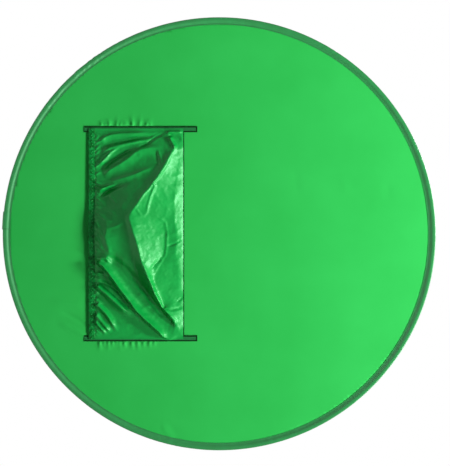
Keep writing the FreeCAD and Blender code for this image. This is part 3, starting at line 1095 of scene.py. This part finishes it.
tape = {
    "width": 20 * mm,
    "middle": 343 * mm,  # from the disc's middle line to a side tape's
    "top": 46 * mm,
    "bottom": -325 * mm,
    "thick": 0.8 * mm,
    "boxLow": 8 * mm,
    "boxHigh": 42 * mm,
    "boxStitches": 3,  # in each of the box's two short rows
    "seamHalf": 333 * mm,
    "seamTop": 3 * mm,
    "seamBottom": -9 * mm,
    "cell": 3 * mm,
    "columns": 9,
    "waver": 0.5 * mm,  # how far its edges stray from a straight line
    "waverApart": 10,  # keeps one tape's waver apart from the next one's in the noise
    "waverStep": 0.11,  # in the noise, from row to row
    "unevenness": 0.12 * mm,
    "unevenSteps": (0.4, 0.5),  # in the noise, from row to row and from column to column
    "ribPitch": 1.1 * mm,
    "edgeShadeFrom": 4.5 * mm,  # where its darker edges start, from its middle line: the woven edge, widened into painted shade
    "edgeShadeTo": 6.5 * mm,
    "stitchInset": 2 * mm,
    "stitchPitch": 5 * mm,
    "stitchLift": 0.25 * mm,
}


def tapeStrip(name, ends, width, material):
    # a flat strip between two (x, z) ends, a little uneven along its edges
    start, end = (Vector((x, 0, z)) for x, z in ends)
    run = (end - start).normalized()
    across = run.cross(Vector((0, 1, 0)))
    rows = round((end - start).length / tape["cell"])
    points = np.zeros((rows + 1, tape["columns"], 3))
    alongStep, acrossStep = tape["unevenSteps"]
    for i in range(rows + 1):
        spot = start * tape["waverApart"] + run * i * tape["waverStep"]
        waver = noise.noise(spot) * tape["waver"]
        for j in range(tape["columns"]):
            off = (j / (tape["columns"] - 1) - 0.5) * width + waver
            lift = tape["unevenness"] * noise.noise(Vector((i * alongStep, j * acrossStep, 1)))
            points[i, j] = start.lerp(end, i / rows) + across * off
            points[i, j, 1] += lift - tape["thick"]
    return gridPiece(name, points, surfaceNormals(points, wrap=False), material, tape["thick"])


def tapeStitches(side, material):
    # rows along both edges of a side tape, and a crossed box at its upper end
    bm = bmesh.new()
    depth = -tape["thick"] - tape["stitchLift"]
    middle = side * tape["middle"]
    half = tape["width"] / 2 - tape["stitchInset"]
    pitch = tape["stitchPitch"]
    for edge in (-1, 1):
        count = round((tape["top"] - tape["bottom"]) / pitch)
        stitchRow(bm, (middle + edge * half, depth, tape["bottom"] + pitch / 2), (0, 0, 1), count,
                  step=(0, 0, pitch))
    low, high = tape["boxLow"], tape["boxHigh"]
    for up in (low, high):
        stitchRow(bm, (middle - half + pitch / 2, depth, up), (1, 0, 0), tape["boxStitches"],
                  step=(pitch, 0, 0))
    for edge in (-1, 1):
        run = Vector((edge * 2 * half, 0, high - low))
        count = round(run.length / pitch)
        step = run / count
        start = Vector((middle - edge * half, depth, low)) + step / 2
        stitchRow(bm, start, run, count, step=step)
    return meshPiece("side_tape_stitches_" + ("left" if side < 0 else "right"), bm, material)


makeCamera()
makeLamps()
makeWorld()
makeFloor()
print("camera, lamps and floor made")

backdropCloth = matteWeave()
satin = coatedTaffeta()
shadedShirredSatin = shadedShirredTaffeta()
tapeCloth = grosgrain()
bindingCloth = bindingTape()
threadFibre = sewingThread()
elasticFibre = wovenElastic()
springSteel = rolledSteel()
sleeveMetal = crimpedSleeve()
print("materials made")


def rideOn(piece, node):
    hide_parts(node)
    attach(piece, "disc")


def blendOn(piece, node):
    # a left or right half, which stays on the disc at its sewn side and moves at its inner end
    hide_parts(node)
    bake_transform(piece)


cloth = makeBackdrop(backdropCloth)
rideOn(cloth, "backdrop_fabric")
print("backdrop made")

bindingRing = makeBinding(bindingCloth)
rideOn(bindingRing, "edge_binding")
bindingLap = makeLap(bindingCloth)
rideOn(bindingLap, "edge_binding")
bindingThread = bindingStitches(threadFibre)
rideOn(bindingThread, "edge_binding")
print("binding made")

for flap in makePanel(satin):
    blendOn(flap, "pocket_panel")
print("pocket made")

for tube, row, tucks in zip(makeCasing(shadedShirredSatin), casingStitches(threadFibre),
                            casingTucks(satin)):
    for piece in (tube, row, tucks):
        blendOn(piece, "mouth_casing")
for band in makeElastic(elasticFibre):
    blendOn(band, "mouth_elastic")
print("casing made")

for side, node in ((-1, "side_tape_left"), (1, "side_tape_right")):
    x = side * tape["middle"]
    strip = tapeStrip(node + "_cloth", [(x, tape["bottom"]), (x, tape["top"])], tape["width"],
                      tapeCloth)
    rideOn(strip, node)
    row = tapeStitches(side, threadFibre)
    rideOn(row, node)
seamUp = (tape["seamTop"] + tape["seamBottom"]) / 2
seamEnds = [(-tape["seamHalf"], seamUp), (tape["seamHalf"], seamUp)]
seam = tapeStrip("seam_tape_cloth", seamEnds, tape["seamTop"] - tape["seamBottom"], tapeCloth)
rideOn(seam, "seam_tape")
print("tapes made")

for name, material in (("hoop_strip", springSteel), ("hoop_ferrule", sleeveMetal)):
    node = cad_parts[name]
    node.data.materials.clear()
    node.data.materials.append(material)
